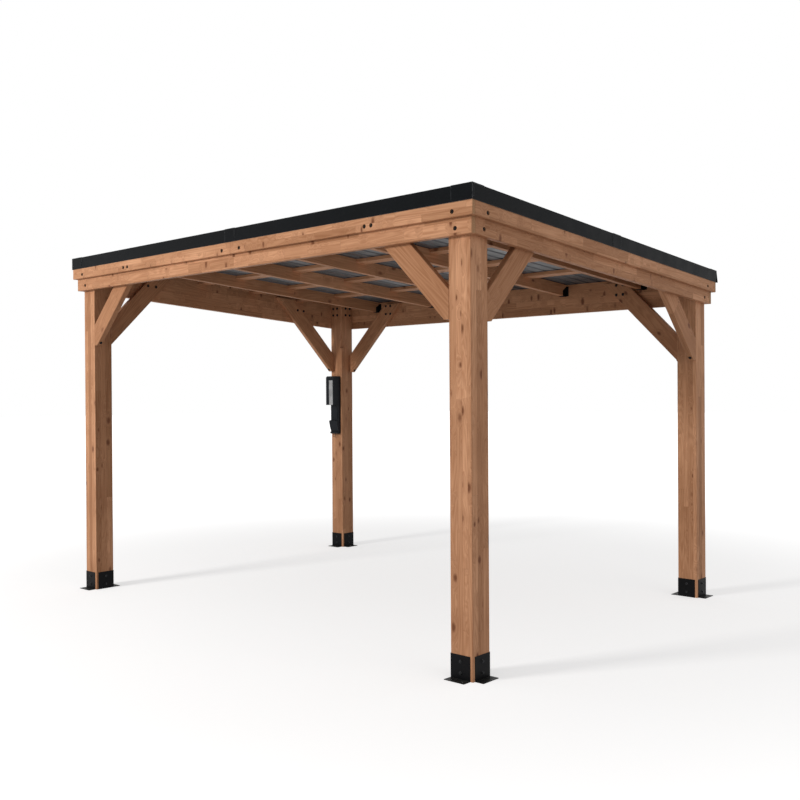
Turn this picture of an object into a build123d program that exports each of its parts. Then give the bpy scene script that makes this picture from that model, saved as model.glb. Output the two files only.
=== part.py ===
"""Timber garden gazebo with a single-slope steel roof, in millimetres.

X runs along the high front, +Y runs to the low back and +Z is up. The origin is on the
floor, in the middle of the four posts.
"""

import os
from math import hypot

from build123d import *

os.makedirs("parts", exist_ok=True)

# Frame and roof plane
span_x = 3646.0  # between the outer faces of the posts, along the front
span_y = 2686.0  # between the outer faces of the posts, front to back
front_clearance = 2215.0  # floor to the underside of the front header
roof_fall = 0.060  # drop of the roof for each unit of run towards the back
post_size = 140.0
post_edge_radius = 4.0

# Perimeter boards
header_thickness = 34.0
header_height = 225.0
fascia_thickness = 24.0
fascia_drop = 141.0  # from the top of the header to the lower edge of the fascia
board_arris = 2.0  # small chamfer along the edges of the boards

# Recesses for the bolt heads in the outer faces of the boards
recess_radius = 12.0
recess_depth = 8.0
header_bolt_rise = 35.0  # from the underside of the header
fascia_bolt_rise = 28.0  # from the lower edge of the fascia
bracket_bolt_offset = 648.0  # from the corner post's outer face to the middle of a pair of bolts
bracket_bolt_gap = 50.0
middle_bolt_offset = 85.0  # from the joint in the middle

# Knee braces, measured along the post and along the header from where they meet
brace_thickness = 40.0
brace_width = 130.0
brace_leg = 444.0  # outer edge of the brace, from the corner to where it meets the post
brace_tip_cut = 33.0  # flat cut across the lower tip
brace_top_gap = 3.0  # from the underside of the purlins down to the top of the brace

# Rafters, purlins and roof sheets
rafter_width = 38.0
rafter_depth = 89.0
rafter_brace_gap = 12.152  # between the first hanger's flange and the brace beside it
rafter_count = 5
purlin_thickness = 22.0
purlin_width = 90.0
purlin_count = 4
sheet_thickness = 1.2
rib_pitch = 101.3
rib_height = 8.5
rib_base_width = 34.0
rib_top_width = 16.0

# Steel trim round the roof edge
trim_thickness = 3.0
trim_height = 81.0
trim_top_width = 95.0
back_trim_flare = 20.0  # how far the lower edge of the back trim leans out
trim_cap_length = 135.0
trim_cap_thickness = 1.5
trim_cap_return = 14.0  # fold of the front caps round the corner
trim_joint_width = 95.0

# Joist hangers
hanger_thickness = 2.0
hanger_depth = 76.0
hanger_reach = 50.0
hanger_flange = 20.0

# Post base brackets
base_thickness = 3.0
base_height = 125.0
base_corner_gap = 16.0  # bare timber left at the open corner
base_flange = 50.0
base_hole_radius = 5.5
base_hole_spacing = 70.0

# Outlet housing on the front face of the back left post
outlet_bottom = 1065.0
outlet_height = 540.0
outlet_width = 100.0
outlet_depth = 28.0
outlet_round = 6.0
lip_height = 16.0
lip_reach = 12.0
bulge_bottom = 22.0  # heights above the bottom of the housing
bulge_top = 128.0
bulge_reach = 26.0
bulge_middle_reach = 17.0
lid_bottom = 138.0
lid_width = 78.0
lid_height = 112.0
lid_round = 30.0
lid_thickness = 3.0
hood_height = 270.0
hood_depth = 62.0
hood_round = 20.0
hood_brow = 38.0  # from the top of the hood down to its window recess
hood_frame_left = 36.0
hood_frame_right = 12.0
hood_recess = 6.0

half_x = span_x / 2
half_y = span_y / 2
header_out_x = half_x + header_thickness
header_out_y = half_y + header_thickness
fascia_out_x = header_out_x + fascia_thickness
fascia_out_y = header_out_y + fascia_thickness
trim_out_x = fascia_out_x + trim_thickness
trim_out_y = fascia_out_y + trim_thickness
slope_stretch = hypot(1, roof_fall)  # length along the slope for each unit of run
slope_way = (0, 1, -roof_fall)
fascia_bottom = header_height - fascia_drop
sheet_crest = header_height + rib_height
trim_top = sheet_crest + trim_thickness
trim_bottom = trim_top - trim_height
rafter_bottom = header_height - rafter_depth
purlin_bottom = header_height - purlin_thickness
base_bend_radius = post_edge_radius + base_thickness


def level(y, height):
    """Floor height at depth y of a line that stands height above the header's underside."""
    return front_clearance + height - roof_fall * (y + half_y)


corners = {
    "front_left": (-1, -1),
    "front_right": (1, -1),
    "back_left": (-1, 1),
    "back_right": (1, 1),
}

# Posts, cut at the top to the slope of the roof
for name, (side_x, side_y) in corners.items():
    near_x = min(side_x * half_x, side_x * (half_x - post_size))
    near_y = min(side_y * half_y, side_y * (half_y - post_size))
    far_y = near_y + post_size
    with BuildPart() as post:
        with BuildSketch(Plane.YZ.offset(near_x)):
            Polygon(
                (near_y, 0),
                (far_y, 0),
                (far_y, level(far_y, header_height)),
                (near_y, level(near_y, header_height)),
            )
        extrude(amount=post_size)
        fillet(post.edges().filter_by(Axis.Z), post_edge_radius)
    post.part.label = f"post_{name}"
    export_step(post.part, f"parts/post_{name}.step")

# Bolt places along the boards
front_post_bolt = half_x - post_size / 2
bracket_bolt = half_x - bracket_bolt_offset
side_post_bolt = half_y - post_size / 2
fascia_bolts = (
    front_post_bolt,
    bracket_bolt + bracket_bolt_gap / 2,
    bracket_bolt - bracket_bolt_gap / 2,
    middle_bolt_offset,
)

# Front and back headers, which run past the posts and cover the ends of the side headers
for name, side in (("front", -1), ("back", 1)):
    inner = side * half_y
    outer = side * header_out_y
    with BuildPart() as header:
        with BuildSketch(Plane.YZ.offset(-header_out_x)):
            Polygon(
                (inner, level(inner, 0)),
                (outer, level(inner, 0)),
                (outer, level(outer, header_height)),
                (inner, level(inner, header_height)),
            )
        extrude(amount=2 * header_out_x)
        chamfer(header.edges(), board_arris)
        bolt_level = level(inner, header_bolt_rise)
        with BuildSketch(Plane.XZ.offset(-outer)):
            with Locations((-front_post_bolt, bolt_level), (front_post_bolt, bolt_level)):
                Circle(recess_radius)
        extrude(amount=recess_depth, dir=(0, -side, 0), mode=Mode.SUBTRACT)
    header.part.label = f"header_{name}"
    export_step(header.part, f"parts/header_{name}.step")

# Side headers, which follow the slope
for name, side in (("left", -1), ("right", 1)):
    outer = side * header_out_x
    with BuildPart() as header:
        with BuildSketch(Plane.YZ.offset(outer)):
            Polygon(
                (-half_y, level(-half_y, 0)),
                (half_y, level(half_y, 0)),
                (half_y, level(half_y, header_height)),
                (-half_y, level(-half_y, header_height)),
            )
        extrude(amount=header_thickness, dir=(-side, 0, 0))
        chamfer(header.edges(), board_arris)
        with BuildSketch(Plane.YZ.offset(outer)):
            for y in (-side_post_bolt, side_post_bolt):
                with Locations((y, level(y, header_bolt_rise))):
                    Circle(recess_radius)
        extrude(amount=recess_depth, dir=(-side, 0, 0), mode=Mode.SUBTRACT)
    header.part.label = f"header_{name}"
    export_step(header.part, f"parts/header_{name}.step")

# Front and back fascias, each in two boards that meet in the middle
for name, side in (("front", -1), ("back", 1)):
    inner = side * header_out_y
    outer = side * fascia_out_y
    bolt_level = level(inner, fascia_bottom + fascia_bolt_rise)
    for half, turn in (("left", -1), ("right", 1)):
        with BuildPart() as fascia:
            with BuildSketch(Plane.YZ.offset(turn * fascia_out_x)):
                Polygon(
                    (inner, level(inner, fascia_bottom)),
                    (outer, level(inner, fascia_bottom)),
                    (outer, level(outer, header_height)),
                    (inner, level(inner, header_height)),
                )
            extrude(amount=fascia_out_x, dir=(-turn, 0, 0))
            chamfer(fascia.edges(), board_arris)
            with BuildSketch(Plane.XZ.offset(-outer)):
                for x in fascia_bolts:
                    with Locations((turn * x, bolt_level)):
                        Circle(recess_radius)
            extrude(amount=recess_depth, dir=(0, -side, 0), mode=Mode.SUBTRACT)
        fascia.part.label = f"fascia_{name}_{half}"
        export_step(fascia.part, f"parts/fascia_{name}_{half}.step")

# Side fascias
for name, side in (("left", -1), ("right", 1)):
    outer = side * fascia_out_x
    with BuildPart() as fascia:
        with BuildSketch(Plane.YZ.offset(outer)):
            Polygon(
                (-header_out_y, level(-header_out_y, fascia_bottom)),
                (header_out_y, level(header_out_y, fascia_bottom)),
                (header_out_y, level(header_out_y, header_height)),
                (-header_out_y, level(-header_out_y, header_height)),
            )
        extrude(amount=fascia_thickness, dir=(-side, 0, 0))
        chamfer(fascia.edges(), board_arris)
        with BuildSketch(Plane.YZ.offset(outer)):
            for y in (-side_post_bolt, side_post_bolt):
                with Locations((y, level(y, fascia_bottom + fascia_bolt_rise))):
                    Circle(recess_radius)
        extrude(amount=recess_depth, dir=(-side, 0, 0), mode=Mode.SUBTRACT)
    fascia.part.label = f"fascia_{name}"
    export_step(fascia.part, f"parts/fascia_{name}.step")

# Knee braces, two on each post, whose upper ends lap the inside of the headers
brace_inner_leg = brace_leg - brace_width * 2**0.5
brace_top = purlin_bottom - brace_top_gap
for name, (side_x, side_y) in corners.items():
    base_level = level(side_y * half_y, 0)
    post_face_x = side_x * (half_x - post_size)
    cross_y = max(side_y * half_y, side_y * (half_y - brace_thickness))
    with BuildPart() as brace:
        with BuildSketch(Plane.XZ.offset(-cross_y)):
            Polygon(
                (post_face_x, base_level - brace_inner_leg),
                (post_face_x, base_level - brace_leg + brace_tip_cut),
                (post_face_x - side_x * brace_tip_cut, base_level - brace_leg + brace_tip_cut),
                (post_face_x - side_x * (brace_leg + brace_top), base_level + brace_top),
                (post_face_x - side_x * (brace_inner_leg + brace_top), base_level + brace_top),
            )
        extrude(amount=brace_thickness)
        chamfer(brace.edges(), board_arris)
    brace.part.label = f"brace_{name}_along"
    export_step(brace.part, f"parts/brace_{name}_along.step")

    post_face_y = side_y * (half_y - post_size)
    start_x = min(side_x * half_x, side_x * (half_x - brace_thickness))
    foot_level = level(post_face_y, -brace_leg + brace_tip_cut)
    inner_end_y = post_face_y - side_y * (brace_inner_leg + brace_top) / (1 - side_y * roof_fall)
    outer_end_y = post_face_y - side_y * (brace_leg + brace_top) / (1 - side_y * roof_fall)
    with BuildPart() as brace:
        with BuildSketch(Plane.YZ.offset(start_x)):
            Polygon(
                (post_face_y, level(post_face_y, -brace_inner_leg)),
                (post_face_y, foot_level),
                (post_face_y - side_y * brace_tip_cut, foot_level),
                (outer_end_y, level(outer_end_y, brace_top)),
                (inner_end_y, level(inner_end_y, brace_top)),
            )
        extrude(amount=brace_thickness)
        chamfer(brace.edges(), board_arris)
    brace.part.label = f"brace_{name}_across"
    export_step(brace.part, f"parts/brace_{name}_across.step")

# Rafters between the front and back headers, notched on top for the purlins
purlin_places = [span_y * (i + 1) / (purlin_count + 1) - half_y for i in range(purlin_count)]
hanger_half_width = rafter_width / 2 + hanger_thickness + hanger_flange
rafter_side_gap = post_size + brace_inner_leg + rafter_bottom - hanger_half_width - rafter_brace_gap
rafter_spacing = (span_x - 2 * rafter_side_gap) / (rafter_count - 1)
rafter_places = [rafter_side_gap - half_x + rafter_spacing * i for i in range(rafter_count)]
for number, place in enumerate(rafter_places, start=1):
    with BuildPart() as rafter:
        with BuildSketch(Plane.YZ.offset(place - rafter_width / 2)):
            Polygon(
                (-half_y, level(-half_y, rafter_bottom)),
                (half_y, level(half_y, rafter_bottom)),
                (half_y, level(half_y, header_height)),
                (-half_y, level(-half_y, header_height)),
            )
            for y in purlin_places:
                start = y - purlin_width / 2
                end = y + purlin_width / 2
                Polygon(
                    (start, level(start, purlin_bottom)),
                    (end, level(end, purlin_bottom)),
                    (end, level(end, header_height)),
                    (start, level(start, header_height)),
                    mode=Mode.SUBTRACT,
                )
        extrude(amount=rafter_width)
        chamfer(rafter.edges().sort_by(SortBy.LENGTH)[-2:], board_arris)
    rafter.part.label = f"rafter_{number}"
    export_step(rafter.part, f"parts/rafter_{number}.step")

# Purlins let into the rafters, from one side header to the other
for number, y in enumerate(purlin_places, start=1):
    start = y - purlin_width / 2
    end = y + purlin_width / 2
    with BuildPart() as purlin:
        with BuildSketch(Plane.YZ.offset(-half_x)):
            Polygon(
                (start, level(start, purlin_bottom)),
                (end, level(end, purlin_bottom)),
                (end, level(end, header_height)),
                (start, level(start, header_height)),
            )
        extrude(amount=span_x)
    purlin.part.label = f"purlin_{number}"
    export_step(purlin.part, f"parts/purlin_{number}.step")

# Ribbed roof sheets, whose ribs run down the slope
sheet_half = fascia_out_x
ribs_per_sheet = int((sheet_half - rib_base_width) // rib_pitch)
rib_start = (sheet_half - (ribs_per_sheet - 1) * rib_pitch) / 2
sheet_base = level(-fascia_out_y, header_height)
rib_hollow = rib_height - sheet_thickness
rib_hollow_base = rib_base_width - 2 * sheet_thickness
rib_hollow_top = rib_top_width - sheet_thickness
for name, start_x in (("left", -sheet_half), ("right", 0)):
    rib_places = [start_x + rib_start + i * rib_pitch for i in range(ribs_per_sheet)]
    with BuildPart() as sheet:
        with BuildSketch(Plane.XZ.offset(fascia_out_y)):
            with Locations((start_x + sheet_half / 2, sheet_base + sheet_thickness / 2)):
                Rectangle(sheet_half, sheet_thickness)
            for x in rib_places:
                Polygon(
                    (x - rib_base_width / 2, sheet_base),
                    (x + rib_base_width / 2, sheet_base),
                    (x + rib_top_width / 2, sheet_base + rib_height),
                    (x - rib_top_width / 2, sheet_base + rib_height),
                )
            for x in rib_places:
                Polygon(
                    (x - rib_hollow_base / 2, sheet_base),
                    (x + rib_hollow_base / 2, sheet_base),
                    (x + rib_hollow_top / 2, sheet_base + rib_hollow),
                    (x - rib_hollow_top / 2, sheet_base + rib_hollow),
                    mode=Mode.SUBTRACT,
                )
        extrude(amount=2 * fascia_out_y * slope_stretch, dir=slope_way)
    sheet.part.label = f"roof_sheet_{name}"
    export_step(sheet.part, f"parts/roof_sheet_{name}.step")

# Front and back roof trim, folded over the ribs
for name, side, flare in (("front", -1, 0.0), ("back", 1, back_trim_flare)):
    outer = side * trim_out_y
    face = side * fascia_out_y
    inner = side * (trim_out_y - trim_top_width)
    with BuildPart() as trim:
        with BuildSketch(Plane.YZ.offset(-trim_out_x)):
            Polygon(
                (face + side * flare, level(face, trim_bottom)),
                (outer + side * flare, level(face, trim_bottom)),
                (outer, level(outer, trim_top)),
                (inner, level(inner, trim_top)),
                (inner, level(inner, sheet_crest)),
                (face, level(face, sheet_crest)),
            )
        extrude(amount=2 * trim_out_x)
    trim.part.label = f"roof_trim_{name}"
    export_step(trim.part, f"parts/roof_trim_{name}.step")

# Side roof trim, between the front and back trim
for name, side in (("left", -1), ("right", 1)):
    outer = side * trim_out_x
    face = side * fascia_out_x
    inner = side * (trim_out_x - trim_top_width)
    side_run = fascia_out_y
    top_run = trim_out_y - trim_top_width
    with BuildPart() as trim:
        with BuildSketch(Plane.XZ.offset(side_run)):
            Polygon(
                (face, level(-side_run, trim_bottom)),
                (outer, level(-side_run, trim_bottom)),
                (outer, level(-side_run, sheet_crest)),
                (face, level(-side_run, sheet_crest)),
            )
        extrude(amount=2 * side_run * slope_stretch, dir=slope_way)
        with BuildSketch(Plane.XZ.offset(top_run)):
            Polygon(
                (outer, level(-top_run, sheet_crest)),
                (outer, level(-top_run, trim_top)),
                (inner, level(-top_run, trim_top)),
                (inner, level(-top_run, sheet_crest)),
            )
        extrude(amount=2 * top_run * slope_stretch, dir=slope_way)
    trim.part.label = f"roof_trim_{name}"
    export_step(trim.part, f"parts/roof_trim_{name}.step")

# Caps over the corners and joints of the trim
cap_out_x = trim_out_x + trim_cap_thickness
cap_out_y = trim_out_y + trim_cap_thickness
cap_crest = trim_top + trim_cap_thickness
with BuildPart() as caps:
    for side, flare in ((-1, 0.0), (1, back_trim_flare)):
        face = side * fascia_out_y
        y_in = side * trim_out_y
        y_out = side * cap_out_y
        y_end = side * (trim_out_y - trim_top_width)
        outline = (
            (y_in + side * flare, level(face, trim_bottom)),
            (y_out + side * flare, level(face, trim_bottom)),
            (y_out, level(y_out, cap_crest)),
            (y_end, level(y_end, cap_crest)),
            (y_end, level(y_end, trim_top)),
            (y_in, level(y_in, trim_top)),
        )
        for start_x, length in (
            (-cap_out_x, trim_cap_length),
            (cap_out_x - trim_cap_length, trim_cap_length),
            (-trim_joint_width / 2, trim_joint_width),
        ):
            with BuildSketch(Plane.YZ.offset(start_x)):
                Polygon(*outline)
            extrude(amount=length)
    for side in (-1, 1):
        with BuildSketch(Plane.YZ.offset(side * cap_out_x)):
            Polygon(
                (-cap_out_y, level(-cap_out_y, trim_bottom + trim_cap_return)),
                (trim_cap_return - cap_out_y, level(-cap_out_y, trim_bottom + trim_cap_return)),
                (trim_cap_return - cap_out_y, level(trim_cap_return - cap_out_y, cap_crest)),
                (-cap_out_y, level(-cap_out_y, cap_crest)),
            )
        extrude(amount=trim_cap_thickness, dir=(-side, 0, 0))
        x_in = side * trim_out_x
        x_out = side * cap_out_x
        x_end = side * (trim_out_x - trim_top_width)
        start_y = -trim_joint_width / 2
        with BuildSketch(Plane.XZ.offset(-start_y)):
            Polygon(
                (x_in, level(start_y, trim_bottom)),
                (x_out, level(start_y, trim_bottom)),
                (x_out, level(start_y, cap_crest)),
                (x_end, level(start_y, cap_crest)),
                (x_end, level(start_y, trim_top)),
                (x_in, level(start_y, trim_top)),
            )
        extrude(amount=trim_joint_width * slope_stretch, dir=slope_way)
caps.part.label = "roof_trim_caps"
export_step(caps.part, "parts/roof_trim_caps.step")

# Joist hangers at both ends of each rafter
with BuildPart() as hangers:
    for place in rafter_places:
        for side in (-1, 1):
            end_y = side * half_y
            seat = level(end_y, rafter_bottom)
            flange_plane = Plane.XZ.offset(-max(end_y, end_y - side * hanger_thickness))
            with BuildSketch(flange_plane):
                for turn in (-1, 1):
                    edge = place + turn * (rafter_width / 2 + hanger_thickness)
                    with Locations((edge + turn * hanger_flange / 2, seat + hanger_depth / 2)):
                        Rectangle(hanger_flange, hanger_depth)
            extrude(amount=hanger_thickness)
            for turn in (-1, 1):
                cheek_x = place + turn * (rafter_width / 2 + hanger_thickness / 2)
                reach_y = end_y - side * hanger_reach
                with BuildSketch(Plane.YZ.offset(cheek_x - hanger_thickness / 2)):
                    Polygon(
                        (end_y, level(end_y, rafter_bottom) - hanger_thickness),
                        (reach_y, level(reach_y, rafter_bottom) - hanger_thickness),
                        (reach_y, level(reach_y, rafter_bottom) + hanger_depth / 2),
                        (end_y, seat + hanger_depth),
                    )
                extrude(amount=hanger_thickness)
            with BuildSketch(Plane.YZ.offset(place - rafter_width / 2)):
                Polygon(
                    (end_y, level(end_y, rafter_bottom) - hanger_thickness),
                    (reach_y, level(reach_y, rafter_bottom) - hanger_thickness),
                    (reach_y, level(reach_y, rafter_bottom)),
                    (end_y, level(end_y, rafter_bottom)),
                )
            extrude(amount=rafter_width)
hangers.part.label = "joist_hangers"
export_step(hangers.part, "parts/joist_hangers.step")

# Post base brackets: two bent plates to a post, each with a flange on one outer face
flange_faces = {
    "front_left": ("low_y", "high_y"),
    "front_right": ("low_y", "high_x"),
    "back_left": ("low_y", "high_x"),
    "back_right": ("low_x", "high_x"),
}
for name, (side_x, side_y) in corners.items():
    centre_x = side_x * (half_x - post_size / 2)
    centre_y = side_y * (half_y - post_size / 2)
    half = post_size / 2
    out = half + base_thickness
    edge = half - base_corner_gap
    with BuildPart() as base:
        for turn in (-1, 1):
            bend_in = (centre_x + turn * half, centre_y + turn * half)
            bend_out = (centre_x + turn * out, centre_y + turn * out)
            with BuildSketch(Plane.XY) as angle:
                with Locations((centre_x, centre_y)):
                    Polygon(
                        (turn * half, turn * half),
                        (turn * half, -turn * edge),
                        (turn * out, -turn * edge),
                        (turn * out, turn * out),
                        (-turn * edge, turn * out),
                        (-turn * edge, turn * half),
                    )
                fillet(angle.vertices().sort_by_distance(bend_in)[0], post_edge_radius)
                fillet(angle.vertices().sort_by_distance(bend_out)[0], base_bend_radius)
            extrude(amount=base_height)
        for face in flange_faces[name]:
            turn = 1 if face.startswith("high") else -1
            length = edge + out
            along = turn * (out - edge) / 2
            across = turn * (out + base_flange / 2)
            middle = (across, along) if face.endswith("x") else (along, across)
            size = (base_flange, length) if face.endswith("x") else (length, base_flange)
            step = (0, 1) if face.endswith("x") else (1, 0)
            with BuildSketch(Plane.XY):
                with Locations((centre_x + middle[0], centre_y + middle[1])):
                    Rectangle(*size)
                for way in (-1, 1):
                    hole_x = centre_x + middle[0] + way * step[0] * base_hole_spacing / 2
                    hole_y = centre_y + middle[1] + way * step[1] * base_hole_spacing / 2
                    with Locations((hole_x, hole_y)):
                        Circle(base_hole_radius, mode=Mode.SUBTRACT)
            extrude(amount=base_thickness)
    base.part.label = f"post_base_{name}"
    export_step(base.part, f"parts/post_base_{name}.step")

# Outlet housing: a shallow box with a lip, a bulge over the cord entry and a round-topped lid
outlet_x = -half_x + post_size / 2
outlet_face = half_y - post_size
housing_face = outlet_face - outlet_depth
outlet_top = outlet_bottom + outlet_height
bulge_middle = (bulge_bottom + bulge_top) / 2
with BuildPart() as housing:
    with BuildSketch(Plane.YZ.offset(outlet_x - outlet_width / 2)):
        with BuildLine():
            Polyline(
                (housing_face, outlet_bottom + bulge_bottom),
                (housing_face - lip_reach, outlet_bottom + lip_height),
                (housing_face - lip_reach, outlet_bottom),
                (outlet_face, outlet_bottom),
                (outlet_face, outlet_top),
                (housing_face, outlet_top),
                (housing_face, outlet_bottom + bulge_top),
                (housing_face - bulge_reach, outlet_bottom + bulge_top - outlet_round),
            )
            ThreePointArc(
                (housing_face - bulge_reach, outlet_bottom + bulge_top - outlet_round),
                (housing_face - bulge_middle_reach, outlet_bottom + bulge_middle),
                (housing_face, outlet_bottom + bulge_bottom),
            )
        make_face()
    extrude(amount=outlet_width)
    fillet(housing.edges().filter_by(Axis.Z).group_by(Axis.Y)[0], outlet_round / 2)
    with BuildSketch(Plane.XZ.offset(-housing_face)) as lid:
        with Locations((outlet_x, outlet_bottom + lid_bottom + lid_height / 2)):
            Rectangle(lid_width, lid_height)
        fillet(lid.vertices().group_by(Axis.Y)[-1], lid_round)
    extrude(amount=lid_thickness)
housing.part.label = "outlet_housing"
export_step(housing.part, "parts/outlet_housing.step")

# Hood over the upper half of the housing, with a window recess that is open below
hood_bottom = outlet_top - hood_height
hood_front = housing_face - hood_depth
window_width = outlet_width - hood_frame_left - hood_frame_right
window_x = outlet_x + (hood_frame_left - hood_frame_right) / 2
with BuildPart() as hood:
    with BuildSketch(Plane.YZ.offset(outlet_x - outlet_width / 2)) as profile:
        Polygon(
            (housing_face, hood_bottom),
            (hood_front, hood_bottom),
            (hood_front, outlet_top),
            (housing_face, outlet_top),
        )
        fillet(profile.vertices().sort_by_distance((hood_front, outlet_top))[0], hood_round)
    extrude(amount=outlet_width)
    with BuildSketch(Plane.XZ.offset(-hood_front)):
        with Locations((window_x, (hood_bottom + outlet_top - hood_brow) / 2)):
            Rectangle(window_width, hood_height - hood_brow)
    extrude(amount=hood_recess, dir=(0, 1, 0), mode=Mode.SUBTRACT)
hood.part.label = "outlet_hood"
export_step(hood.part, "parts/outlet_hood.step")
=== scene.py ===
"""Looks of the timber garden gazebo: stained staves, dark coated steel and its small fixings.

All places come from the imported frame, in metres: +X along the high front, +Y towards the low
back, +Z up, with the origin on the floor in the middle of the four posts.
"""

import logging
import math
from dataclasses import dataclass
from enum import Enum
from itertools import product
from typing import Iterable, Sequence

import bpy
import numpy as np
from mathutils import Matrix, Vector


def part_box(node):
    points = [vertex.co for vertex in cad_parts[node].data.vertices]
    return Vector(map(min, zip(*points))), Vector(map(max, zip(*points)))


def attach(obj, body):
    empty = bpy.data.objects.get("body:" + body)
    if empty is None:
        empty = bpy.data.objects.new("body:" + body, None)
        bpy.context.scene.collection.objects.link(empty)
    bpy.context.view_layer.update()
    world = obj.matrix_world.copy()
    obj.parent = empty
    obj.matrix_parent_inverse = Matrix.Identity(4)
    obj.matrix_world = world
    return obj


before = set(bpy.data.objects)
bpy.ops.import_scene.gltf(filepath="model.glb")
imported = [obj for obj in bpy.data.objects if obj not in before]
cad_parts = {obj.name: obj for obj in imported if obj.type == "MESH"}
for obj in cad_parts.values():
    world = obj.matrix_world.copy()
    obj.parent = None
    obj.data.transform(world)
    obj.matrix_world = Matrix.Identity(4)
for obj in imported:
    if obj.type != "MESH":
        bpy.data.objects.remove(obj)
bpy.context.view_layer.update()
log = logging.getLogger("gazebo")

BODY = "root"
MM = 0.001
SHARP_ANGLE = math.radians(32)
SIDES = (-1, 1)
CORNERS = {
    "front_left": (-1, -1),
    "front_right": (1, -1),
    "back_left": (-1, 1),
    "back_right": (1, 1),
}
Colour = tuple[float, float, float]
Place = tuple[float, float, float]
Pair = tuple[float, float]
Socket = bpy.types.NodeSocket
Material = bpy.types.Material
Input = Socket | float | Sequence[float]


# Surfaces as arrays


@dataclass(frozen=True)
class Shell:
    """A closed surface held as arrays of points, four-sided faces and three-sided faces."""

    points: np.ndarray
    quads: np.ndarray
    tris: np.ndarray

    def copies(self, turns: np.ndarray, spots: np.ndarray) -> "Shell":
        """Repeats the surface. Copy k of a point p is turn_k times p, plus spot_k.

        Args:
            turns: one 3 by 3 rotation for each copy.
            spots: one place for each copy.

        Returns:
            One surface that holds all the copies.
        """
        count, size = len(spots), len(self.points)
        moved = np.einsum("kij,nj->kni", turns, self.points) + spots[:, None, :]
        step = (np.arange(count) * size)[:, None, None]
        return Shell(
            moved.reshape(-1, 3),
            (self.quads[None] + step).reshape(-1, 4),
            (self.tris[None] + step).reshape(-1, 3),
        )


def stacked_rings(rings: np.ndarray) -> Shell:
    """Closes a stack of rings into a surface, with a fan about the middle of each end ring.

    Face (i, j) joins points j and j + 1 of ring i to those of ring i + 1, and the last point of
    a ring is followed by its first.

    Args:
        rings: points of shape (rings, sides, 3), from the foot up, anticlockwise from above.

    Returns:
        The closed surface.
    """
    levels, sides = rings.shape[:2]
    start = np.arange(levels - 1)[:, None] * sides
    here = np.arange(sides)[None, :]
    after = (here + 1) % sides
    above = start + sides
    quads = np.stack([start + here, start + after, above + after, above + here], -1)
    middle, top = levels * sides, (levels - 1) * sides
    foot_fan = np.stack([np.full(sides, middle), after[0], here[0]], -1)
    head_fan = np.stack([np.full(sides, middle + 1), top + here[0], top + after[0]], -1)
    points = np.concatenate([rings.reshape(-1, 3), rings[[0, -1]].mean(1)])
    return Shell(points, quads.reshape(-1, 4), np.concatenate([foot_fan, head_fan]))


def circle(sides: int) -> np.ndarray:
    """Returns (cos a, sin a) for equal steps of the angle a round a whole turn."""
    angle = np.arange(sides) * math.tau / sides
    return np.stack([np.cos(angle), np.sin(angle)], -1)


def lathe(sides: int, profile: Sequence[Place]) -> Shell:
    """Turns a profile about the Z axis.

    Ring i lies at height h_i, and its radius at angle a is r_i times 1 + s_i (g(a) - 1). Here
    g(a) = cos 30 / cos((a mod 60) - 30) is a hexagon of unit corner radius and s_i, from 0 to 1,
    says how six-sided the ring is.

    Args:
        sides: points round each ring, a multiple of six.
        profile: r and h of each ring in millimetres, and its s, from the foot up.

    Returns:
        The closed surface, in metres.
    """
    radius, height, six_sided = np.array(profile, float).T[:, :, None]
    third = math.pi / 3
    angle = np.arange(sides) * math.tau / sides
    hexagon = math.cos(third / 2) / np.cos(angle % third - third / 2)
    reach = MM * radius * (1 + six_sided * (hexagon - 1))
    rings = np.broadcast_arrays(reach * np.cos(angle), reach * np.sin(angle), MM * height)
    return stacked_rings(np.stack(rings, -1))


def rounded_plate(width: float, length: float, radius: float, steps: Sequence[Pair]) -> Shell:
    """Stacks rounded rectangles in the XY plane.

    Each ring is the set of points at a radius from the corners of a smaller rectangle: the
    quarter of the ring about a corner turns through 90 degrees.

    Args:
        width: along X, in metres.
        length: along Y.
        radius: of the corners, in plan.
        steps: inset and height of each ring in millimetres, from the foot up.

    Returns:
        The closed surface, centred on the Z axis.
    """
    per_corner, least_share = 6, 0.1
    sweep = np.linspace(0, math.pi / 2, per_corner)
    angle = (np.arange(4)[:, None] * math.pi / 2 + sweep).ravel()
    sign_x = np.repeat([1, -1, -1, 1], per_corner)
    sign_y = np.repeat([1, 1, -1, -1], per_corner)
    inset, height = MM * np.array(steps, float).T[:, :, None]
    turn = np.maximum(radius - inset, radius * least_share)
    x = (width / 2 - inset - turn) * sign_x + turn * np.cos(angle)
    y = (length / 2 - inset - turn) * sign_y + turn * np.sin(angle)
    return stacked_rings(np.stack(np.broadcast_arrays(x, y, height), -1))


def carried_profile(profile: np.ndarray, path: np.ndarray, plane: np.ndarray) -> Shell:
    """Carries a flat closed profile along a path.

    Point (i, j) is path_i plus a_j times the first direction plus b_j times the second.

    Args:
        profile: (a, b) of each point, anticlockwise seen from the path's end.
        path: the places that the profile passes through.
        plane: the directions of a and b, one in each row.

    Returns:
        The closed surface.
    """
    return stacked_rings(path[:, None] + profile @ plane)


def facing(directions: np.ndarray) -> np.ndarray:
    """Turns that point a piece's Z axis along each direction.

    The X column is world Z, or world X for a nearly upright direction, crossed with the
    direction, and the Y column is the direction crossed with the X column.

    Args:
        directions: unit vectors, one for each piece.

    Returns:
        Rotations of shape (pieces, 3, 3).
    """
    nearly_upright = 0.9
    upright = np.abs(directions[:, 2:3]) > nearly_upright
    helper = np.where(upright, np.array([[1.0, 0, 0]]), np.array([[0, 0, 1.0]]))
    x_axis = np.cross(helper, directions)
    x_axis /= np.linalg.norm(x_axis, axis=1, keepdims=True)
    return np.stack([x_axis, np.cross(directions, x_axis), directions], 2)


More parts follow.
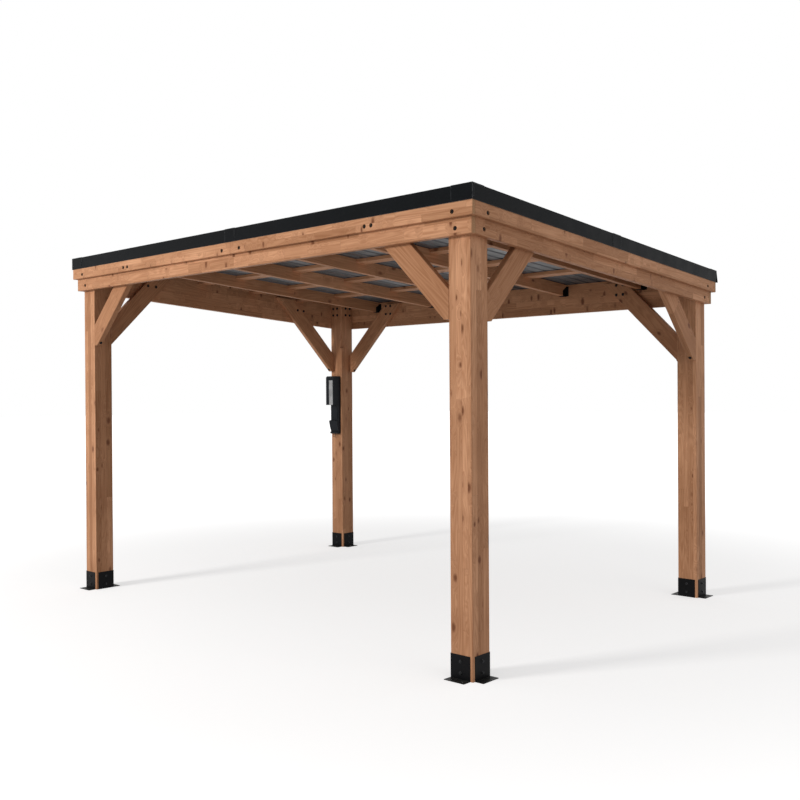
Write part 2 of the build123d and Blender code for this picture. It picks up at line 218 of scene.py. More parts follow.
class Head(Enum):
    """Small fixings: points round a ring, then radius and height in mm and s of each ring."""

    RECESSED_BOLT = (
        24,
        ((10.5, 0.05, 0), (11, 0.8, 0), (10.2, 1.6, 0), (7.6, 2.2, 0), (7.2, 5, 0))
        + ((5.6, 6.4, 0), (3.7, 6.6, 1), (3.4, 6.2, 1), (3.2, 3.2, 1)),
    )
    WASHER_BOLT = (
        24,
        ((11, -0.3, 0), (11, 1.4, 0), (10.4, 1.9, 0), (8.2, 2, 1), (8.2, 6.2, 1))
        + ((7.2, 7.4, 0.3), (5, 7.6, 0)),
    )
    BASE_BOLT = (
        24,
        ((9, -0.2, 0), (9, 1, 0), (8.6, 1.4, 0), (6.8, 1.5, 1), (6.8, 5.4, 1))
        + ((6, 6.4, 0.3), (4.2, 6.6, 0)),
    )
    ROOF_SCREW = (
        12,
        ((6.175, 0, 0), (6.5, 0.6, 0), (5.2, 1.6, 0))
        + ((3.575, 2, 1), (3.575, 5, 1), (2.73, 5.6, 1)),
    )
    RIVET = (12, ((4, -0.2, 0), (4, 0.3, 0), (3, 1.2, 0), (1.2, 1.5, 0)))
    NAIL = (12, ((4.2, -0.1, 0), (4.2, 0.4, 0), (3.15, 1.1, 0), (1.26, 1.4, 0)))
    LID_SCREW = (12, ((3.4, -0.2, 0), (3.4, 0.5, 0), (2.4, 1.3, 0), (0.9, 1.6, 0)))


class Spots:
    """A growing list of places and directions for small pieces."""

    def __init__(self) -> None:
        """Starts with no places."""
        self.places: list[Place] = []
        self.ways: list[Place] = []

    def add(self, place: Iterable[float], way: Iterable[float]) -> None:
        """Adds a place, and the direction that the piece's Z axis points there."""
        self.places.append(tuple(place))
        self.ways.append(tuple(way))

    def fill(self, shell: Shell) -> Shell:
        """Returns one surface with a copy of the piece at every place."""
        ways = np.array(self.ways, float)
        ways /= np.linalg.norm(ways, axis=1, keepdims=True)
        return shell.copies(facing(ways), np.array(self.places, float))

    def heads(self, head: Head) -> Shell:
        """Returns one surface with a fixing's head at every place."""
        return self.fill(lathe(*head.value))


def add_piece(name: str, shell: Shell, material: Material) -> None:
    """Makes a surface into a piece that rides with the gazebo.

    Args:
        name: of the piece.
        shell: its surface, in the frame's own place.
        material: its finish.
    """
    mesh = bpy.data.meshes.new(name)
    mesh.from_pydata(shell.points.tolist(), [], shell.quads.tolist() + shell.tris.tolist())
    mesh.update()
    mesh.shade_smooth()
    mesh.set_sharp_from_angle(angle=SHARP_ANGLE)
    mesh.materials.append(material)
    piece = bpy.data.objects.new(name, mesh)
    bpy.context.scene.collection.objects.link(piece)
    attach(piece, BODY)
    log.info("%s: %d faces", name, len(mesh.polygons))


# Node trees


class Wiring:
    """Short ways to add nodes to one tree and wire them."""

    def __init__(self, tree: bpy.types.NodeTree) -> None:
        """Keeps the tree that the nodes go into."""
        self.tree = tree

    def feed(self, socket: Socket, value: Input) -> None:
        """Links a socket to an input, or sets the input to a constant."""
        if isinstance(value, Socket):
            self.tree.links.new(value, socket)
        elif socket.type == "RGBA" and len(value) == 3:
            socket.default_value = (*value, 1.0)
        else:
            socket.default_value = value

    def fill(self, node: bpy.types.Node, inputs: dict[str | int, Input]) -> None:
        """Feeds several inputs of a node, by name or number."""
        for key, value in inputs.items():
            self.feed(node.inputs[key], value)

    def node(self, kind: str, inputs: dict | None = None, **settings: object) -> bpy.types.Node:
        """Adds a node.

        Args:
            kind: the node's type name.
            inputs: values or sockets by input name or number.
            settings: properties of the node.

        Returns:
            The node.
        """
        made = self.tree.nodes.new(kind)
        for key, value in settings.items():
            setattr(made, key, value)
        self.fill(made, inputs or {})
        return made

    def calc(self, operation: str, *values: Input, clamp: bool = False) -> Socket:
        """Adds a Math node and returns its output."""
        inputs = dict(enumerate(values))
        return self.node("ShaderNodeMath", inputs, operation=operation, use_clamp=clamp).outputs[0]

    def vector(self, operation: str, *values: Input) -> Socket:
        """Adds a Vector Math node and returns its output, a number for DOT_PRODUCT and LENGTH."""
        scaled = operation == "SCALE"
        inputs = {"Scale" if scaled and i else i: value for i, value in enumerate(values)}
        made = self.node("ShaderNodeVectorMath", inputs, operation=operation)
        return made.outputs["Value" if operation in ("DOT_PRODUCT", "LENGTH") else "Vector"]

    def blend(self, share: Input, first: Input, second: Input, mode: str = "MIX") -> Socket:
        """Mixes two colours by a share and returns the colour."""
        inputs = {0: share, 6: first, 7: second}
        return self.node("ShaderNodeMix", inputs, data_type="RGBA", blend_type=mode).outputs[2]

    def tint(self, colour: Input, by: Input) -> Socket:
        """Returns the product of two colours."""
        return self.blend(1.0, colour, by, "MULTIPLY")

    def lay(self, colour: Input, mask: Input, share: float, over: Input) -> Socket:
        """Lays another colour over a colour, by a mask times a share."""
        return self.blend(self.calc("MULTIPLY", mask, share), colour, over)

    def span(
        self, value: Input, low: float, high: float, start: float = 0.0, end: float = 1.0
    ) -> Socket:
        """Maps low..high of a value smoothly to start..end."""
        inputs = {"Value": value, "From Min": low, "From Max": high, "To Min": start, "To Max": end}
        made = self.node("ShaderNodeMapRange", inputs, interpolation_type="SMOOTHSTEP")
        return made.outputs["Result"]

    def noise(
        self, vector: Input, scale: Input, detail: float = 2.0, rough: float = 0.5, bend: float = 0
    ) -> Socket:
        """Adds a Noise Texture and returns its value."""
        inputs = {"Vector": vector, "Scale": scale, "Detail": detail, "Roughness": rough}
        return self.node("ShaderNodeTexNoise", {**inputs, "Distortion": bend}).outputs[0]

    def parts(self, vector: Input) -> Sequence[Socket]:
        """Splits a vector into its three numbers."""
        return self.node("ShaderNodeSeparateXYZ", {0: vector}).outputs[:3]

    def join(self, x: Input, y: Input, z: Input) -> Socket:
        """Makes a vector of three numbers."""
        return self.node("ShaderNodeCombineXYZ", {0: x, 1: y, 2: z}).outputs[0]

    def normal(self) -> Socket:
        """Returns the true normal."""
        return self.node("ShaderNodeNewGeometry").outputs["Normal"]

    def place(self) -> Socket:
        """Returns the place in the object's own space."""
        return self.node("ShaderNodeTexCoord").outputs["Object"]


def fresh_wiring(owner: Material | bpy.types.World) -> Wiring:
    """Empties the node tree of a material or world and returns its wiring."""
    owner.use_nodes = True
    owner.node_tree.nodes.clear()
    return Wiring(owner.node_tree)


class SocketKind(Enum):
    """Kinds of socket on a node group."""

    NUMBER = "NodeSocketFloat"
    VECTOR = "NodeSocketVector"
    COLOUR = "NodeSocketColor"


NUMBER, VECTOR, COLOUR = SocketKind
SURFACE = {"Colour": COLOUR, "Roughness": NUMBER, "Height": NUMBER}


class SharedEffect:
    """A node group that several finishes use, made once."""

    title = "effect"
    takes: dict[str, SocketKind] = {}
    gives: dict[str, SocketKind] = {}

    @classmethod
    def group(cls) -> bpy.types.NodeTree:
        """Returns the effect's node group, made on first use."""
        found = bpy.data.node_groups.get(cls.title)
        if found:
            return found
        tree = bpy.data.node_groups.new(cls.title, "ShaderNodeTree")
        for way, sockets in (("INPUT", cls.takes), ("OUTPUT", cls.gives)):
            for name, kind in sockets.items():
                tree.interface.new_socket(name=name, in_out=way, socket_type=kind.value)
        wiring = Wiring(tree)
        entry = wiring.node("NodeGroupInput").outputs
        results = cls.wire(wiring, {name: entry[name] for name in cls.takes})
        wiring.node("NodeGroupOutput", results)
        return tree

    @classmethod
    def wire(cls, w: Wiring, given: dict) -> dict:
        """Wires the effect and returns its results by name."""
        raise NotImplementedError

    @classmethod
    def place(cls, w: Wiring, values: dict) -> dict:
        """Places the effect in a tree.

        Args:
            w: wiring of the tree that uses the effect.
            values: values or sockets by name, of which the effect takes its own.

        Returns:
            The effect's outputs by name.
        """
        taken = {name: values[name] for name in cls.takes}
        made = w.node("ShaderNodeGroup", taken, node_tree=cls.group())
        return {name: made.outputs[name] for name in cls.gives}


class StaveLayout(SharedEffect):
    """Glued staves: rows across the grain, cut into lengths that meet in finger joints."""

    title = "stave layout"
    takes = {"Vector": VECTOR, "Row Y": NUMBER, "Row Z": NUMBER, "Length": NUMBER}
    gives = {"Tone": NUMBER, "Shift": VECTOR, "Seam": NUMBER}
    finger = 3.5 * MM
    finger_reach = 1.7
    line = 0.7 * MM
    row_seed = 0.37
    row_slide = 7.0

    @classmethod
    def wire(cls, w: Wiring, given: dict) -> dict:
        """Numbers each stave by the floor of its row and length, and marks the lines between."""
        x, y, z = w.parts(given["Vector"])
        row_y = w.calc("DIVIDE", y, given["Row Y"])
        row_z = w.calc("DIVIDE", z, given["Row Z"])
        cell_y, cell_z = w.calc("FLOOR", row_y), w.calc("FLOOR", row_z)
        row_cell = w.join(cell_y, cell_z, cls.row_seed)
        row_noise = w.node("ShaderNodeTexWhiteNoise", {"Vector": row_cell}).outputs["Value"]
        zigzag = w.calc("PINGPONG", w.calc("ADD", y, z), cls.finger)
        fingered = w.calc("MULTIPLY_ADD", zigzag, cls.finger_reach, x)
        lengths = w.calc("DIVIDE", fingered, given["Length"])
        slid = w.calc("MULTIPLY_ADD", row_noise, cls.row_slide, lengths)
        cell = w.join(w.calc("FLOOR", slid), cell_y, cell_z)
        cell_noise = w.node("ShaderNodeTexWhiteNoise", {"Vector": cell}).outputs
        marks = []
        for place, size in ((row_y, "Row Y"), (row_z, "Row Z"), (slid, "Length")):
            off_middle = w.calc("ABSOLUTE", w.calc("SUBTRACT", w.calc("FRACT", place), 0.5))
            to_edge = w.calc("MULTIPLY", w.calc("SUBTRACT", 0.5, off_middle), given[size])
            marks.append(w.span(to_edge, 0.0, cls.line, 1.0, 0.0))
        seam = w.calc("MAXIMUM", marks[0], w.calc("MAXIMUM", marks[1], marks[2]))
        return {"Tone": cell_noise["Value"], "Shift": cell_noise["Color"], "Seam": seam}


class WoodFigure(SharedEffect):
    """Growth lines, fibres and knots of softwood, with the lines bending round the knots."""

    title = "wood figure"
    takes = {"Vector": VECTOR, "Shift": VECTOR, "Knot Share": NUMBER, "Knot Shape": VECTOR}
    gives = {"Lines": NUMBER, "Fibre": NUMBER, "Knot": NUMBER, "Halo": NUMBER}
    stave_step = 13.7
    knot_density = 12.5
    knot_size = 0.15
    knot_spread = 0.14
    knot_ragged = 0.08
    bend = (0.0, 0.022, 0.022)
    line_stretch = (0.85, 13.0, 13.0)
    line_count = 118.0
    streak_stretch = (1.8, 95.0, 95.0)
    fibre_stretch = (22.0, 780.0, 780.0)

    @classmethod
    def wire(cls, w: Wiring, given: dict) -> dict:
        """Draws growth lines as level curves of a long soft noise, and knots as sparse spots."""
        own = w.vector("ADD", given["Vector"], w.vector("SCALE", given["Shift"], cls.stave_step))
        shaped = w.vector("MULTIPLY", own, given["Knot Shape"])
        spot = w.node("ShaderNodeTexVoronoi", {"Vector": shaped, "Scale": cls.knot_density})
        pick = w.parts(spot.outputs["Color"])
        chosen = w.calc("LESS_THAN", pick[0], given["Knot Share"])
        size = w.calc("MULTIPLY_ADD", pick[1], cls.knot_spread, cls.knot_size)
        ragged = w.calc("MULTIPLY", w.noise(own, 60.0, 3.0), cls.knot_ragged)
        near = w.calc("DIVIDE", w.calc("ADD", spot.outputs["Distance"], ragged), size)
        knot = w.calc("MULTIPLY", w.span(near, 0.45, 1.15, 1.0, 0.0), chosen)
        halo = w.calc("MULTIPLY", w.span(near, 0.8, 3.0, 1.0, 0.0), chosen)
        pushed = w.vector("ADD", own, w.vector("SCALE", cls.bend, halo))
        long_noise = w.noise(w.vector("MULTIPLY", pushed, cls.line_stretch), 1.0, 1.5, 0.4, 0.35)
        rings = w.calc("SINE", w.calc("MULTIPLY", long_noise, cls.line_count))
        streaks = w.noise(w.vector("MULTIPLY", pushed, cls.streak_stretch), 1.0, 4.0, 0.6, 0.2)
        soft = w.calc("MULTIPLY_ADD", rings, 0.2, 0.24)
        strong = w.calc("MULTIPLY", w.span(streaks, 0.28, 0.74), 0.52)
        lines = w.calc("ADD", soft, strong, clamp=True)
        fibre = w.noise(w.vector("MULTIPLY", own, cls.fibre_stretch), 1.0, 2.0)
        return {"Lines": lines, "Fibre": fibre, "Knot": knot, "Halo": halo}


class ArrisMask(SharedEffect):
    """A mask of the arrises, where a rounded normal leaves the true one. Timber lays worn stain on
    it; coated steel lays a pale coat on it that is partly wear and partly a painted highlight.
    """

    title = "arris mask"
    takes = {"Vector": VECTOR, "Reach": NUMBER}
    gives = {"Mask": NUMBER}

    @classmethod
    def wire(cls, w: Wiring, given: dict) -> dict:
        """Compares the true normal with one rounded over the reach, broken up by a noise."""
        rounded = w.node("ShaderNodeBevel", {"Radius": given["Reach"]}, samples=4).outputs["Normal"]
        bent = w.calc("SUBTRACT", 1.0, w.vector("DOT_PRODUCT", rounded, w.normal()))
        patchy = w.span(w.noise(given["Vector"], 55.0, 3.0), 0.3, 0.6, 0.35, 1.0)
        return {"Mask": w.calc("MULTIPLY", w.span(bent, 0.01, 0.2), patchy, clamp=True)}


class SettledDust(SharedEffect):
    """Pale dust on what faces up, thin and patchy."""

    title = "settled dust"
    takes = {"Vector": VECTOR, "Dust": NUMBER}
    gives = {"Mask": NUMBER}

    @classmethod
    def wire(cls, w: Wiring, given: dict) -> dict:
        """Multiplies the upward share of the normal by a broken noise and the amount."""
        patches = w.span(w.noise(given["Vector"], 15.0, 6.0, 0.7), 0.25, 0.8)
        lying = w.calc("MULTIPLY", w.span(w.parts(w.normal())[2], 0.35, 0.95), patches)
        return {"Mask": w.calc("MULTIPLY", lying, given["Dust"], clamp=True)}


class StainedTimber(SharedEffect):
    """The whole surface of stained timber: staves, figure, knots, end grain and worn edges."""

    title = "stained timber"
    knots = {"Knot Share": NUMBER, "Knot Shape": VECTOR}
    takes = {"End": NUMBER, "Early Wood": COLOUR, "Late Wood": COLOUR, **StaveLayout.takes, **knots}
    gives = SURFACE
    knot_colour = (0.15, 0.05, 0.02)
    seam_colour = (0.11, 0.05, 0.025)
    worn_colour = (0.62, 0.4, 0.26)
    dim_stave = (0.76, 0.7, 0.63)
    bright_stave = (1.13, 1.12, 1.11)
    dim_drift = (0.9, 0.86, 0.82)
    bright_drift = (1.06, 1.05, 1.04)
    end_tint = (0.78, 0.8, 0.72)
    end_ring_rate = 1900.0
    pith = 0.31
    squash = 0.8
    edge_reach = 2.5 * MM

    @classmethod
    def wire(cls, w: Wiring, given: dict) -> dict:
        """Layers the colours from the bare figure up, and adds the relief of lines and seams."""
        early, late = given["Early Wood"], given["Late Wood"]
        stave = StaveLayout.place(w, given)
        figure = WoodFigure.place(w, given | stave)
        colour = w.blend(figure["Lines"], early, late)
        colour = w.tint(colour, w.blend(stave["Tone"], cls.dim_stave, cls.bright_stave))
        drift = w.span(w.noise(given["Vector"], 2.3, 3.0), 0.3, 0.7)
        colour = w.tint(colour, w.blend(drift, cls.dim_drift, cls.bright_drift))
        colour = w.lay(colour, figure["Halo"], 0.45, late)
        colour = w.lay(colour, figure["Knot"], 0.9, cls.knot_colour)
        colour = w.lay(colour, stave["Seam"], 0.55, cls.seam_colour)
        _, y, z = w.parts(given["Vector"])
        from_pith = w.join(0.0, w.calc("ADD", y, cls.pith), w.calc("MULTIPLY", z, cls.squash))
        pith = w.vector("LENGTH", from_pith)
        rings = w.calc("SINE", w.calc("MULTIPLY", pith, cls.end_ring_rate))
        rings = w.calc("MULTIPLY_ADD", rings, 0.5, 0.5)
        cut_end = w.tint(w.blend(rings, early, late), cls.end_tint)
        colour = w.blend(w.span(given["End"], 0.75, 0.9), colour, cut_end)
        edge = ArrisMask.place(w, given | {"Reach": cls.edge_reach})["Mask"]
        colour = w.lay(colour, edge, 0.3, cls.worn_colour)
        rough = w.calc("MULTIPLY_ADD", figure["Lines"], 0.1, 0.46)
        rough = w.calc("MULTIPLY_ADD", figure["Fibre"], 0.2, rough)
        relief = w.calc("MULTIPLY", figure["Lines"], 0.5)
        relief = w.calc("MULTIPLY_ADD", figure["Fibre"], 0.5, relief)
        relief = w.calc("SUBTRACT", relief, w.calc("MULTIPLY", stave["Seam"], 0.7))
        return {"Colour": colour, "Roughness": rough, "Height": relief}


class CoatedSteel(SharedEffect):
    """A dark coating with a fine orange peel, arrises lightened partly by wear and partly by a
    painted highlight, and a little dust.
    """

    title = "coated steel"
    coats = {"Coat": COLOUR, "Worn Coat And Highlight": COLOUR, "Peel": NUMBER}
    takes = {**ArrisMask.takes, **SettledDust.takes, **coats}
    gives = SURFACE
    dust_colour = (0.28, 0.26, 0.23)
    dim_coat = (0.8, 0.8, 0.82)
    bright_coat = (1.2, 1.2, 1.2)

    @classmethod
    def wire(cls, w: Wiring, given: dict) -> dict:
        """Mottles the coat, lightens its arrises with worn coat and a painted highlight, and lays
        dust on the upper faces.
        """
        peel = w.noise(given["Vector"], given["Peel"], 3.0, 0.6)
        mottle = w.span(w.noise(given["Vector"], 9.0, 4.0), 0.3, 0.7)
        colour = w.tint(given["Coat"], w.blend(mottle, cls.dim_coat, cls.bright_coat))
        colour = w.lay(colour, w.span(peel, 0.6, 0.78), 0.35, given["Worn Coat And Highlight"])
        # Painted highlight: the pale coat on the arrises stands partly for light caught by the
        # rounded edges and partly for worn coat.
        colour = w.lay(colour, ArrisMask.place(w, given)["Mask"], 0.75, given["Worn Coat And Highlight"])
        dust = SettledDust.place(w, given)["Mask"]
        colour = w.blend(dust, colour, cls.dust_colour)
        rough = w.calc("MULTIPLY_ADD", mottle, 0.12, w.calc("MULTIPLY_ADD", dust, 0.3, 0.38))
        return {"Colour": colour, "Roughness": rough, "Height": peel}


# Finishes


class GrainWay(Enum):
    """Turn, in degrees about X, Y and Z, that lays a timber's grain along the pattern's X axis."""

    LENGTHWISE = (0.0, 0.0, 0.0)
    UPRIGHT = (0.0, 90.0, 0.0)
    DOWN_SLOPE = (3.4336, 0.0, -90.0)
    BRACE_ALONG_LEFT = (0.0, 45.0, 0.0)
    BRACE_ALONG_RIGHT = (0.0, -45.0, 0.0)
    BRACE_ACROSS_FRONT = (-45.0, 0.0, -90.0)
    BRACE_ACROSS_BACK = (45.0, 0.0, -90.0)


class Finish:
    """A material of one Principled shader, fed from the surface that a subclass wires.

    A subclass has the fields name, mirror (how strongly it reflects), relief and depth (strength
    and height of its bumps).
    """

    metallic = 0.0

    def surface(self, w: Wiring) -> dict:
        """Wires the surface and returns its colour, roughness and height by name."""
        raise NotImplementedError

    def material(self) -> Material:
        """Makes the material."""
        made = bpy.data.materials.new(self.name)
        w = fresh_wiring(made)
        surface = self.surface(w)
        bumps = {"Height": surface["Height"], "Strength": self.relief, "Distance": self.depth}
        inputs = {
            "Base Color": surface["Colour"],
            "Roughness": surface["Roughness"],
            "Metallic": self.metallic,
            "Specular IOR Level": self.mirror,
            "Normal": w.node("ShaderNodeBump", bumps).outputs["Normal"],
        }
        shader = w.node("ShaderNodeBsdfPrincipled", inputs)
        w.node("ShaderNodeOutputMaterial", {"Surface": shader.outputs[0]})
        return made


@dataclass(frozen=True)
class TimberFinish(Finish):
    """Stained softwood glued up from staves."""

    name: str
    way: GrainWay
    row_y: float = 1.0
    row_z: float = 1.0
    length: float = 0.62
    knot_share: float = 0.7
    knot_shape: Colour = (0.6, 1.0, 1.0)
    early: Colour = (0.62, 0.338, 0.195)
    late: Colour = (0.405, 0.192, 0.098)
    offset: Colour = (0.011, 0.007, 0.013)
    mirror: float = 0.2
    relief: float = 0.5
    depth: float = 0.5 * MM

    def surface(self, w: Wiring) -> dict:
        """Turns the pattern to the grain and reads it in object space."""
        turn = tuple(math.radians(a) for a in self.way.value)
        laid = {"Vector": w.place(), "Rotation": turn, "Location": self.offset}
        normal = {"Vector": w.normal(), "Rotation": turn}
        turned_normal = w.node("ShaderNodeMapping", normal, vector_type="VECTOR").outputs[0]
        values = {
            "Vector": w.node("ShaderNodeMapping", laid).outputs[0],
            "End": w.calc("ABSOLUTE", w.parts(turned_normal)[0]),
            "Early Wood": self.early,
            "Late Wood": self.late,
            "Row Y": self.row_y,
            "Row Z": self.row_z,
            "Length": self.length,
            "Knot Share": self.knot_share,
            "Knot Shape": self.knot_shape,
        }
        return StainedTimber.place(w, values)


@dataclass(frozen=True)
class SteelFinish(Finish):
    """Dark coated steel."""

    name: str
    coat: Colour
    # Pale coat for the peel and the arrises; on the arrises it is partly wear and partly a painted
    # highlight.
    worn_and_highlight: Colour
    peel: float = 700.0
    relief: float = 0.15
    dust: float = 0.5
    metallic: float = 0.0
    mirror: float = 0.08
    edge_reach: float = 2.0 * MM
    backer: Colour | None = None
    depth: float = 0.3 * MM

    def surface(self, w: Wiring) -> dict:
        """Wires coated steel, with a backer coat on what faces down where one is given."""
        values = {
            "Vector": w.place(),
            "Coat": self.coat,
            "Worn Coat And Highlight": self.worn_and_highlight,
            "Peel": self.peel,
            "Dust": self.dust,
            "Reach": self.edge_reach,
        }
        surface = CoatedSteel.place(w, values)
        if self.backer:
            down = w.span(w.parts(w.normal())[2], -0.9, -0.4, 1.0, 0.0)
            surface["Colour"] = w.blend(down, surface["Colour"], self.backer)
        return surface


@dataclass(frozen=True)
class MouldedFinish(Finish):
    """Moulded plastic or rubber, plain coloured with a fine spark texture."""

    name: str
    colour: Colour
    roughness: float
    mirror: float = 0.1
    grain: float = 1500.0
    relief: float = 0.2
    depth: float = 0.2 * MM
    edge_reach: float = 1.5 * MM
    edge_colour: Colour = (0.2, 0.2, 0.2)

    def surface(self, w: Wiring) -> dict:
        """Wires a plain colour with faint clouding, paler arrises and a fine relief."""
        place = w.place()
        low, high = (tuple(share * c for c in self.colour) for share in (0.82, 1.15))
        colour = w.blend(w.span(w.noise(place, 14.0, 4.0), 0.3, 0.7), low, high)
        edge = ArrisMask.place(w, {"Vector": place, "Reach": self.edge_reach})["Mask"]
        colour, height = w.lay(colour, edge, 0.3, self.edge_colour), w.noise(place, self.grain)
        return {"Colour": colour, "Roughness": self.roughness, "Height": height}


# The gazebo's own sizes, read from the frame


@dataclass(frozen=True)
class Layout:
    """Driving sizes of the frame, in metres."""

    half_x: float
    half_y: float
    clearance: float
    fall: float = 0.060
    post: float = 0.140
    header: float = 0.034
    header_height: float = 0.225
    fascia: float = 0.024
    fascia_rise: float = 0.084
    brace: float = 0.040

    @classmethod
    def from_frame(cls) -> "Layout":
        """Reads the spans from a corner post and the clearance from the front header."""
        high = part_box("post_back_right")[1]
        return cls(high.x, high.y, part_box("header_front")[0].z)

    def level(self, y: float | np.ndarray, height: float) -> float | np.ndarray:
        """Floor height at depth y of a line that stands height above the header's underside."""
        return self.clearance + height - self.fall * (y + self.half_y)

    @property
    def fascia_x(self) -> float:
        """Outer face of the side fascias."""
        return self.half_x + self.header + self.fascia

    @property
    def fascia_y(self) -> float:
        """Outer face of the front and back fascias."""
        return self.half_y + self.header + self.fascia


# Sub-assemblies


def paint(material: Material, *nodes: str) -> None:
    """Puts a finish on nodes of the frame."""
    for node in nodes:
        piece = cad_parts[node]
        if piece.material_slots:
            piece.material_slots[0].material = material
        else:
            piece.data.materials.append(material)
        log.info("%s wears %s", node, material.name)


@dataclass
class TimberFrame:
    """The posts, boards, braces, rafters and purlins, which the frame holds."""

    post_rows: Pair = (0.043, 0.035)
    board_row: float = 0.056
    board_knots: Colour = (1.15, 1.0, 0.5)

    def dress(self) -> None:
        """Gives every timber node the finish that follows its grain."""
        flat, sloped = GrainWay.LENGTHWISE, GrainWay.DOWN_SLOPE
        rows = dict(zip(("row_y", "row_z"), self.post_rows))
        board = {"row_z": self.board_row, "knot_shape": self.board_knots}
        plain = {"length": 1.9, "knot_share": 0.3}
        long_board = TimberFinish("long board timber", flat, length=0.47, **board).material()
        side_board = TimberFinish("side board timber", sloped, length=0.52, **board).material()
        finishes = {
            "post_": TimberFinish("post timber", GrainWay.UPRIGHT, length=1.7, **rows).material(),
            "rafter_": TimberFinish("rafter timber", sloped, **plain).material(),
            "purlin_": TimberFinish("purlin timber", flat, **plain).material(),
        }
        for part in ("header", "fascia"):
            finishes |= {f"{part}_{side}": long_board for side in ("front", "back")}
            finishes |= {f"{part}_{side}": side_board for side in ("left", "right")}
        ways = {
            "left": GrainWay.BRACE_ALONG_LEFT,
            "right": GrainWay.BRACE_ALONG_RIGHT,
            "front": GrainWay.BRACE_ACROSS_FRONT,
            "back": GrainWay.BRACE_ACROSS_BACK,
        }
        braces = {
            side: TimberFinish(f"brace timber {side}", way, length=1.3, knot_share=0.3).material()
            for side, way in ways.items()
        }
        for corner in CORNERS:
            depth, side = corner.split("_")
            finishes[f"brace_{corner}_along"] = braces[side]
            finishes[f"brace_{corner}_across"] = braces[depth]
        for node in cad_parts:
            fits = [key for key in finishes if node.startswith(key) and "base" not in node]
            if fits:
                paint(finishes[max(fits, key=len)], node)


@dataclass
class RoofSteel:
    """The ribbed sheets, the trim round them, their screws and the lap between the sheets."""

    layout: Layout
    sheet_material: Material
    trim_material: Material
    rib_pitch: float = 0.1013
    rib_base: float = 0.034
    rib_top: float = 0.016
    rib_height: float = 0.0085
    thickness: float = 1.2 * MM
    end_gap: float = 2 * MM
    purlins: int = 4
    trim_top: float = 0.2365
    rivet_inset: float = 0.057
    rivet_reach: float = 0.86
    rivet_count: int = 7

    def dress(self) -> None:
        """Gives the sheets and the trim their finishes."""
        paint(self.sheet_material, "roof_sheet_left", "roof_sheet_right")
        trims = ("front", "back", "left", "right", "caps")
        paint(self.trim_material, *(f"roof_trim_{name}" for name in trims))

    def build(self) -> None:
        """Adds the lap, the roof screws and the trim's rivets."""
        screws, rivets = self.screws().heads(Head.ROOF_SCREW), self.rivets().heads(Head.RIVET)
        add_piece("roof_lap", self.lap(), self.sheet_material)
        add_piece("roof_screws", screws, self.trim_material)
        add_piece("trim_rivets", rivets, self.trim_material)

    def lap(self) -> Shell:
        """The rib where one sheet laps the other: a trapezium carried down the slope."""
        lay, thick = self.layout, self.thickness
        base, top, high = self.rib_base / 2, self.rib_top / 2, self.rib_height
        foot, crown, under = base - thick, top - thick / 2, high - thick
        profile = np.array(
            [(-base, 0), (-foot, 0), (-crown, under), (crown, under)]
            + [(foot, 0), (base, 0), (top, high), (-top, high)]
        )
        ends = np.linspace(self.end_gap - lay.fascia_y, lay.fascia_y - self.end_gap, 24)
        path = np.stack([0 * ends, ends, lay.level(ends, lay.header_height + thick)], -1)
        return carried_profile(profile, path, np.array([[-1.0, 0, 0], [0, 0, 1.0]]))

    def screws(self) -> Spots:
        """Places of the screws: in the flats of the sheets, over each purlin."""
        lay, spots = self.layout, Spots()
        count = int((lay.fascia_x - self.rib_base) // self.rib_pitch)
        start = (lay.fascia_x - (count - 1) * self.rib_pitch) / 2
        for i in range(self.purlins):
            y = 2 * lay.half_y * (i + 1) / (self.purlins + 1) - lay.half_y
            z = lay.level(y, lay.header_height + self.thickness)
            for half, rib in product((-lay.fascia_x, 0.0), range(0, count - 1, 2)):
                x = half + start + (rib + 0.5) * self.rib_pitch
                spots.add((x, y, z), (0, lay.fall, 1))
        return spots

    def rivets(self) -> Spots:
        """Places of the rivets, in rows along the top leaf of the trim."""
        lay, spots = self.layout, Spots()
        reach = self.rivet_reach
        for side, share in product(SIDES, np.linspace(-reach, reach, self.rivet_count)):
            along = (share * lay.fascia_x, side * (lay.fascia_y - self.rivet_inset))
            down = (side * (lay.fascia_x - self.rivet_inset), share * lay.fascia_y)
            for x, y in (along, down):
                spots.add((x, y, lay.level(y, self.trim_top)), (0, lay.fall, 1))
        return spots


